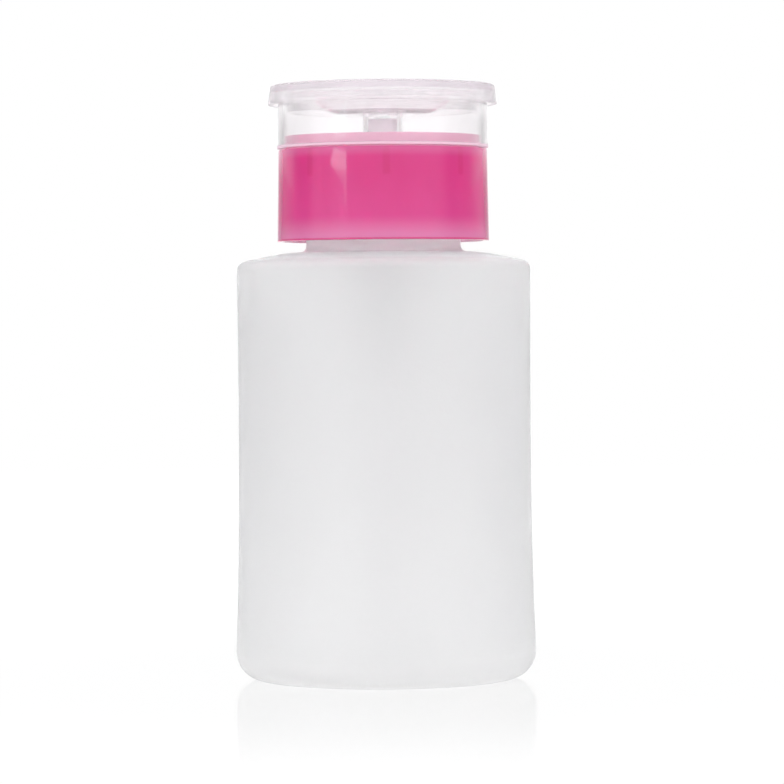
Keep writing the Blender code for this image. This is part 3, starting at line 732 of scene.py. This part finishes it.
def lidPlastic():
    # lavender through its depth, milkier at its rim, and with painted light at its foot, a pale pink where
    # light that runs down its wall comes out
    e = lid
    material, shader, place, rough = clearPlastic("lidPlastic", roughness=0.03, haze=0.07)
    out = material.node_tree.nodes["Material Output"]
    depth = {"Color": (*e["lavender"], 1), "Density": e["lavenderDensity"]}
    place.node("ShaderNodeVolumeAbsorption", {}, depth).into(out, "Volume")
    across, along, height = split(inMm(place))
    # painted light at the foot, mixed in with the rim's milkier veil
    foot = (height - e["foot"]).stretch(*e["footLightVeil"], e["footLightShare"], 0)
    rim = fromAxis(across, along).stretch(e["wallOuter"], e["rimTop"])
    veilAndFootLightTone = tint(place, rim, e["footLightTone"], e["rimVeilTone"])
    veilAndFootLight = principled(place, Base_Color=veilAndFootLightTone, Roughness=0.5, Transmission_Weight=0.3)
    mixInto(out, foot + rim * e["rimVeilShare"], Wire(shader.outputs[0]), veilAndFootLight)
    (rough + rim * 0.15).into(shader, "Roughness")
    return material


def makeLid():
    e = lid
    gateFloor = e["top"] - e["gateDepth"]
    piece = turn("clearLid", [
        (0, gateFloor), (e["gate"], gateFloor),
        (e["gate"] + e["gateSlope"], e["top"]), (e["topRing"], e["top"]),
        *arc(e["rimTop"] - e["rimRound"], e["top"] - e["rimRound"], e["rimRound"], start=90, end=0, steps=4),
        (e["rimFoot"], e["rimFootHeight"]), (e["wallOuter"], e["rimFootHeight"]),
        (e["wallOuter"], e["beadTop"]), (e["bead"], (e["beadTop"] + e["foot"]) / 2), (e["bead"], e["foot"]),
        (e["wallInner"], e["foot"]), (e["wallInner"], e["underside"]), (e["undersideRing"], e["underside"]),
        (0, e["underside"]),
    ], steps=160)
    roundEdges(piece, e["edge"])
    smooth(piece)
    finished(piece, "lid", "clear_plastic", lidPlastic(), "lid")


makeLid()


# Press dish and outlet cap

dish = {
    "foot": 107.85,
    "top": 111.05,
    "radius": 18.15,
    "wall": 1.1,
    "bowlRadius": 15.05,
    "floorRadius": 8.9,
    "floor": 108.45,
    "socketRadius": 3.76,
    "socketBore": 3.05,
    "socketFoot": 102.45,
    "ease": 1.3,  # the bowl's two bends are eased over this width
    "floorRing": 6.2,
    "socketChamfer": 0.25,
    "brimRound": 0.4,
    "edge": 0.12,
}


def bowlSurface(inset):
    # the bowl from its socket out to its brim: its upper side, or with an inset its under side
    d = dish
    slope = (d["top"] - d["floor"]) / (d["bowlRadius"] - d["floorRadius"])
    ease = d["ease"]
    low, high = d["floor"] - inset, d["top"] - inset
    start = d["socketRadius"] + (d["socketChamfer"] if inset else 0)
    surface = [(start, low), (d["floorRing"], low)]
    for share in spread(0.0, 1.0, steps=5):  # from the flat floor into the flank
        surface.append((d["floorRadius"] + ease * (2 * share - 1), low + slope * ease * share ** 2))
    for share in spread(0.0, 1.0, steps=5):  # from the flank out to the brim
        surface.append((d["bowlRadius"] + ease * (2 * share - 1), high - slope * ease * (1 - share) ** 2))
    return surface


def makeDish():
    d = dish
    outline = [(d["socketBore"], d["floor"]), *bowlSurface(0)]
    brim = d["brimRound"]
    outline += arc(d["radius"] - brim, d["top"] - brim, brim, start=90, end=0, steps=4)
    outline += [
        (d["radius"], d["foot"]), (d["radius"] - d["wall"], d["foot"]),
        (d["radius"] - d["wall"], d["top"] - d["wall"]), *bowlSurface(d["wall"])[::-1],
        (d["socketRadius"], d["floor"] - d["wall"] - d["socketChamfer"]),
        (d["socketRadius"], d["socketFoot"]), (d["socketBore"], d["socketFoot"]),
    ]
    piece = turn("pressDish", outline)
    roundEdges(piece, d["edge"], segments=2, sharperThan=40)
    smooth(piece)
    finished(piece, "press_head", "clear_plastic", dishClear, "press_dish")


makeDish()

outletCap = {
    "radius": 2.75,
    "bore": 1.9,
    "top": 110.196,
    "ceiling": 109.646,
    "foot": 107.85,
    "topRing": 1.4,
    "edge": 0.22,
    "slotWidth": 0.9,
    "slotFoot": 108.45,
    "slotLength": 8.0,
    "slotTurns": (45, -45),
    "slotEdge": 0.2,
}


def makeOutletCap():
    o = outletCap
    piece = turn("outletThimble", [
        (0, o["top"]), (o["topRing"], o["top"]), (o["radius"], o["top"]), (o["radius"], o["foot"]),
        (o["bore"], o["foot"]), (o["bore"], o["ceiling"]), (0, o["ceiling"]),
    ], steps=72)
    roundEdges(piece, o["edge"])
    for side in o["slotTurns"]:
        clearSelection()
        bpy.ops.mesh.primitive_cube_add(
            size=1, location=(0, 0, (o["slotFoot"] + o["ceiling"]) / 2 * mm),
            rotation=(0, 0, math.radians(side)),
            scale=(o["slotLength"] * mm, o["slotWidth"] * mm, (o["ceiling"] - o["slotFoot"]) * mm),
        )
        slot = placed("thimbleSlot")
        roundEdges(slot, o["slotEdge"], segments=2)
        merge(piece, slot, "DIFFERENCE")
    smooth(piece)
    finished(piece, "press_head", "clear_plastic", dishClear, "outlet_cap")


makeOutletCap()
print("closure, lid and dish made")


# Stem, piston and stem guide

stem = {
    "radius": 2.75,
    "bore": 1.1,
    "top": 106.55,
    "seat": 105.55,
    "seatRadius": 2.1,
    "shoulder": 93.85,
    "spigot": 2.2,
    "spigotFoot": 89.65,
    "edge": 0.12,
}


def makeStem():
    s = stem
    piece = turn("pumpStem", [
        (s["seatRadius"], s["top"]), (s["radius"], s["top"]), (s["radius"], s["shoulder"]),
        (s["spigot"], s["shoulder"]), (s["spigot"], s["spigotFoot"]), (s["bore"], s["spigotFoot"]),
        (s["bore"], s["seat"]),
    ], steps=72)
    roundEdges(piece, s["edge"], segments=2)
    smooth(piece)
    plastic = naturalPlastic("stemPlastic", light=(0.975, 0.92, 0.955), dark=(0.96, 0.9, 0.94))
    finished(piece, "press_head", "natural_plastic", plastic, "pump_stem")


makeStem()

piston = {
    "top": 93.55,
    "foot": 88.05,
    "lip": 4.6,
    "waist": 4.0,
    "lipHeight": 1.1,
    "lipShares": (0.5, 1.0, 1.5),  # its lip is full between the first two, and ends at the last
    "socket": 2.5,
    "bore": 1.1,
    "floor": 1.3,
    "edge": 0.12,
}


def makePiston():
    p = piston
    full, fullEnd, end = [p["top"] - p["lipHeight"] * share for share in p["lipShares"]]
    flare = [(p["waist"], p["top"]), (p["lip"], full), (p["lip"], fullEnd), (p["waist"], end)]
    mirrored = [(radius, p["top"] + p["foot"] - height) for radius, height in flare[::-1]]
    piece = turn("softPiston", flare + mirrored + [
        (p["bore"], p["foot"]), (p["bore"], p["foot"] + p["floor"]), (p["socket"], p["foot"] + p["floor"]),
        (p["socket"], p["top"]),
    ], steps=72)
    roundEdges(piece, p["edge"], segments=2)
    smooth(piece)
    finished(piece, "press_head", "soft_seal", seal, "piston")


makePiston()

guide = {
    "top": 102.85,
    "radius": 5.31,
    "well": 4.16,
    "wellFloor": 97.95,
    "bearing": 3.05,
    "flange": 8.3,
    "flangeFoot": 98.65,
    "flangeTop": 99.65,
    "plug": 5.3,
    "plugFoot": 93.85,
    "edge": 0.15,
}


def makeGuide():
    g = guide
    piece = turn("stemGuide", [
        (g["well"], g["top"]), (g["radius"], g["top"]),
        (g["radius"], g["flangeTop"]), (g["flange"], g["flangeTop"]), (g["flange"], g["flangeFoot"]),
        (g["plug"], g["flangeFoot"]), (g["plug"], g["plugFoot"]),
        (g["bearing"], g["plugFoot"]), (g["bearing"], g["wellFloor"]), (g["well"], g["wellFloor"]),
    ], steps=96)
    roundEdges(piece, g["edge"], segments=2)
    smooth(piece)
    finished(piece, "pump", "natural_plastic", natural, "stem_guide")


makeGuide()


# Pump housing, gasket and dip tube

housing = {
    "flangeTop": 98.35,
    "flangeFoot": 97.15,
    "flange": 15.6,
    "headBore": 5.6,
    "head": 6.6,
    "headFoot": 93.55,
    "barrel": 5.75,
    "barrelTop": 92.05,
    "bore": 4.75,
    "shelf": 72.45,
    "lip": 71.85,
    "lipBore": 1.7,
    "chamber": 2.75,
    "seat": 66.397,
    "seatHole": 1.3,
    "tubeStop": 64.997,
    "tubeBore": 2.8,
    "foot": 59.997,
    "footRadius": 3.8,
    "footTaperTop": 67.85,
    "edge": 0.15,
}


def makeHousing():
    h = housing
    piece = turn("pumpHousing", [
        (h["headBore"], h["flangeTop"]), (h["flange"], h["flangeTop"]), (h["flange"], h["flangeFoot"]),
        (h["head"], h["flangeFoot"]), (h["head"], h["headFoot"]), (h["barrel"], h["barrelTop"]),
        (h["barrel"], h["lip"]), (h["footRadius"], h["footTaperTop"]), (h["footRadius"], h["foot"]),
        (h["tubeBore"], h["foot"]), (h["tubeBore"], h["tubeStop"]), (h["seatHole"], h["tubeStop"]),
        (h["seatHole"], h["seat"]), (h["chamber"], h["seat"] + h["chamber"] - h["seatHole"]),
        (h["chamber"], h["lip"]), (h["lipBore"], h["lip"]), (h["lipBore"], h["shelf"]),
        (h["bore"], h["shelf"]), (h["bore"], h["headFoot"]), (h["headBore"], h["headFoot"]),
    ], steps=96)
    roundEdges(piece, h["edge"], segments=2)
    smooth(piece)
    finished(piece, "pump", "natural_plastic", natural, "pump_housing")


makeHousing()

gasket = {
    "inner": 12.9,
    "outer": 15.6,
    "foot": 95.85,
    "top": 96.85,
    "groove": 0.2,
    "grooveHalf": 0.5,
    "edge": 0.1,
}


def makeGasket():
    g = gasket
    middle = (g["inner"] + g["outer"]) / 2
    near, far = middle - g["grooveHalf"], middle + g["grooveHalf"]
    piece = turn("neckGasket", [
        (g["inner"], g["top"]), (near, g["top"]), (middle, g["top"] - g["groove"]), (far, g["top"]),
        (g["outer"], g["top"]), (g["outer"], g["foot"]), (far, g["foot"]),
        (middle, g["foot"] + g["groove"]), (near, g["foot"]), (g["inner"], g["foot"]),
    ], steps=96)
    roundEdges(piece, g["edge"], segments=2)
    smooth(piece)
    finished(piece, "pump", "soft_seal", seal, "neck_gasket")


makeGasket()

dipTube = {"radius": 2.5, "bore": 1.8, "foot": 5.1, "top": 64.697, "edge": 0.1}


def makeDipTube():
    t = dipTube
    heights = spread(t["top"], t["foot"], steps=12)
    outside = [(t["radius"], height) for height in heights]
    inside = [(t["bore"], height) for height in heights[:0:-1]]
    piece = turn("dipTube", [(t["bore"], t["top"]), *outside, *inside], steps=64)
    roundEdges(piece, t["edge"], segments=2)
    smooth(piece)
    finished(piece, "pump", "natural_plastic", natural, "dip_tube")


makeDipTube()


# Return spring and valve balls

spring = {
    "radius": 3.75,
    "wire": 0.4,
    "foot": 72.75,
    "closedPitch": 1.3,
    "openTurns": 6,
    "length": 15.0,
    "keep": 0.72,  # share of its length that is left when the dish is fully down
}


def makeSpring():
    s = spring
    openRise = s["length"] - 2 * s["wire"] - 2 * s["closedPitch"]
    start = s["foot"] + s["wire"]
    closed = (1, s["closedPitch"])
    parts = []
    for turns, pitch in [closed, (s["openTurns"], openRise / s["openTurns"]), closed]:
        parts.append(helix(
            "returnSpring", s["radius"], start, s["wire"], turns, pitch, sectionSides=14, stepsPerTurn=48))
        start += turns * pitch
    pick(parts[0])
    for part in parts:
        part.select_set(True)
    bpy.ops.object.join()
    wire = bpy.context.object
    capEnds(wire)
    smooth(wire)
    finished(wire, "pump", "spring_steel", steel, "return_spring")
    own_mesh(wire)


makeSpring()

balls = {
    "inletRadius": 2.0,
    "inletHeight": 68.35,
    "outletRadius": 1.5,
    "outletHeight": 106.996,
    "bandShare": 0.05,  # half the band's width, as a share of the radius
    "groundTo": 0.997,
}


def makeBall(name, radius, height, body, replaced):
    # a moulded ball, with the faint band where its two halves met ground flush
    clearSelection()
    bpy.ops.mesh.primitive_uv_sphere_add(
        segments=48, ring_count=24, radius=radius * mm, location=(0, 0, height * mm))
    ball = placed(name)
    bpy.ops.object.mode_set(mode="EDIT")
    bpy.ops.mesh.select_mode(type="EDGE")
    bpy.ops.mesh.select_all(action="DESELECT")
    bpy.ops.object.mode_set(mode="OBJECT")
    for edge in ball.data.edges:
        edge.select = all(abs(ball.data.vertices[i].co.z - height * mm) < weldDistance for i in edge.vertices)
    bpy.ops.object.mode_set(mode="EDIT")
    bpy.ops.mesh.bevel(offset=balls["bandShare"] * radius * mm, segments=2)
    ground = balls["groundTo"]
    bpy.ops.transform.resize(value=(ground, ground, 1), center_override=(0, 0, height * mm))
    bpy.ops.object.mode_set(mode="OBJECT")
    smooth(ball, upTo=60)
    finished(ball, body, "valve_glass", glass, replaced)


makeBall("inletBall", balls["inletRadius"], balls["inletHeight"], "inlet_valve", "inlet_ball")
makeBall("outletBall", balls["outletRadius"], balls["outletHeight"], "outlet_valve", "outlet_ball")
print("pump made")


# Studio, in metres

camera = {
    "place": (0.00153, -0.756, 0.0676),
    "pitch": 89.02,
    "roll": 0.42,
    "lens": 182,
    "sensor": 36,
    "clip": (0.01, 20),
}


def makeCamera():
    c = camera
    made = bpy.data.objects.new("photoCamera", bpy.data.cameras.new("photoCamera"))
    made.location = c["place"]
    made.rotation_euler = (math.radians(c["pitch"]), math.radians(c["roll"]), 0)
    made.data.lens = c["lens"]
    made.data.sensor_width = c["sensor"]
    made.data.clip_start, made.data.clip_end = c["clip"]
    bpy.context.scene.collection.objects.link(made)
    bpy.context.scene.camera = made


floor = {
    "radius": 1.1,
    "glow": 1.03,
    "polishGlow": 0.96,  # round the bottle the floor is polished and a little less bright
    "polishGloss": 0.27,
    "polishRoughness": 0.1,
    "polish": (0.055, 0.19),  # radii from which it is less polished, and not at all
}


def makeFloor():
    f = floor
    clearSelection()
    bpy.ops.mesh.primitive_circle_add(vertices=96, radius=f["radius"], fill_type="NGON")
    piece = placed("studioFloor")
    material = bpy.data.materials.new("paleFloor")
    out, root = emptyTree(material, "ShaderNodeOutputMaterial")
    white = root.node("ShaderNodeEmission", {}, {"Color": (1, 1, 1, 1), "Strength": f["glow"]})
    glow = root.node("ShaderNodeEmission", {}, {"Color": (1, 1, 1, 1), "Strength": f["polishGlow"]})
    shine = root.node("ShaderNodeBsdfGlossy", {}, {"Color": (1, 1, 1, 1), "Roughness": f["polishRoughness"]})
    polished = root.node("ShaderNodeMixShader", {}, {0: f["polishGloss"], 1: glow, 2: shine})
    place = root.node("ShaderNodeTexCoord", {}, {}, "Object")
    fromBottle = place.node("ShaderNodeVectorMath", {"operation": "LENGTH"}, {0: place}, "Value")
    mixInto(out, fromBottle.stretch(*f["polish"]), polished, white)
    piece.data.materials.append(material)


room = {  # dark flags at the sides, by degrees right of the way the camera looks, and by how far up
    "light": 1.1,
    "tone": (0.995, 0.995, 1),
    "upward": 0.04,
    "leftSide": (-106, -84, -42, -28),
    "leftFlag": 0.64,
    "rightSide": (28, 42, 98, 120),
    "rightFlag": 0.54,
    "flagLevel": (-0.09, 0.02, 0.13, 0.24),
    "lowApart": (12, 20, 30, 44),
    "lowLevel": (0.0435, 0.050),
    "lowRest": 0.12,  # what is left of the low flags above that
    "lowFlags": 0.6,
    "sparedApart": (24, 32, 58, 72),  # no flag in this band, for light that the lid and the dish bend
    "sparedLevel": (0.0495, 0.0525, 0.064, 0.068),
    "flagRest": 0.3,  # how strong the flags are for light that is scattered and not mirrored
}


def makeRoom():
    # white where it is looked at, and brighter or darker by direction as light
    r = room
    world = bpy.data.worlds.new("studioRoom")
    bpy.context.scene.world = world
    out, root = emptyTree(world, "ShaderNodeOutputWorld")
    seen = root.node("ShaderNodeLightPath", {}, {}, "Is Camera Ray")
    glossy = Wire(seen.socket.node.outputs["Is Glossy Ray"])
    across, along, up = split(root.node("ShaderNodeTexCoord", {}, {}, "Generated"))
    side = across.math("ARCTAN2", across, along) * math.degrees(1)
    apart = side.math("ABSOLUTE", side)
    lowFlags = apart.band(*r["lowApart"]) * up.stretch(*r["lowLevel"], 1, r["lowRest"])
    flags = side.band(*r["leftSide"]) * r["leftFlag"] + side.band(*r["rightSide"]) * r["rightFlag"]
    flags = flags + lowFlags * r["lowFlags"]
    spared = up.band(*r["sparedLevel"]) * apart.band(*r["sparedApart"])
    flags = up.band(*r["flagLevel"]) * flags * (1 - spared) * (r["flagRest"] + (1 - r["flagRest"]) * glossy)
    light = r["light"] * (1 + r["upward"] * up - flags)
    lit = root.node("ShaderNodeBackground", {}, {"Color": (*r["tone"], 1), "Strength": light})
    white = root.node("ShaderNodeBackground", {}, {"Color": (1, 1, 1, 1), "Strength": 1.0})
    mixInto(out, seen, lit, white)


softbox = {"place": (0.1, -0.15, 0.75), "aim": (0, 0, 0.06), "size": 0.7, "power": 0.6}


def makeSoftbox():
    s = softbox
    lamp = bpy.data.lights.new("topSoftbox", "AREA")
    lamp.shape = "RECTANGLE"
    lamp.size = lamp.size_y = s["size"]
    lamp.energy = s["power"]
    light = bpy.data.objects.new("topSoftbox", lamp)
    light.location = s["place"]
    light.rotation_euler = (Vector(s["aim"]) - Vector(s["place"])).to_track_quat("-Z", "Y").to_euler()
    bpy.context.scene.collection.objects.link(light)


card = {
    "away": 3.0,
    "top": 0.332,
    "foot": 0.275,
    "right": 39.9,  # degrees left of the camera, as seen from the axis
    "left": [  # the same for its other edge, after a share of the way down
        (0.0, 54.0), (0.147, 56.2), (0.232, 58.7), (0.316, 59.9), (0.4, 56.8), (0.484, 51.8), (0.572, 46.3),
        (0.653, 43.3), (1.0, 41.9),
    ],
    "light": 7.2,
    "tone": (0.65, 1.0, 0.95),
    "dimmed": 0.4,  # its lower part shines this much of that
    "dimmedBelow": (0.306, 0.315),
}


def cardLeftEdge(down):
    for (above, angleAbove), (below, angleBelow) in zip(card["left"], card["left"][1:]):
        if above <= down <= below:
            return angleAbove + (angleBelow - angleAbove) * (down - above) / (below - above)
    return card["left"][-1][1]


def makeCard():
    # a bright card, seen only as the curved highlight on the collar's left: its right edge is straight
    c = card
    clearSelection()
    bpy.ops.mesh.primitive_grid_add(x_subdivisions=24, y_subdivisions=24, size=1)
    piece = placed("highlightCard")
    for v in piece.data.vertices:
        down = 0.5 - v.co.y
        angle = math.radians(c["right"] + (cardLeftEdge(down) - c["right"]) * (0.5 - v.co.x))
        height = c["top"] + (c["foot"] - c["top"]) * down
        v.co = (-c["away"] * math.sin(angle), -c["away"] * math.cos(angle), height)
    material = bpy.data.materials.new("cardLight")
    out, root = emptyTree(material, "ShaderNodeOutputMaterial")
    bright, dim = [
        root.node("ShaderNodeEmission", {}, {"Color": (*c["tone"], 1), "Strength": strength})
        for strength in (c["light"], c["light"] * c["dimmed"])
    ]
    height = split(root.node("ShaderNodeTexCoord", {}, {}, "Object"))[2]
    mixInto(out, height.stretch(*c["dimmedBelow"]), dim, bright)
    piece.data.materials.append(material)
    piece.visible_camera = piece.visible_transmission = piece.visible_shadow = False


def setLightPaths(bounces):
    # light is thrown about in many thin clear walls before it reaches the room
    paths = bpy.context.scene.cycles
    paths.max_bounces = paths.transmission_bounces = paths.glossy_bounces = paths.diffuse_bounces = bounces
    paths.blur_glossy = 0


makeCamera()
makeFloor()
makeRoom()
makeSoftbox()
makeCard()
setLightPaths(96)
bpy.context.scene.view_settings.view_transform = "Standard"
bpy.context.scene.view_settings.look = "None"
print("studio made")
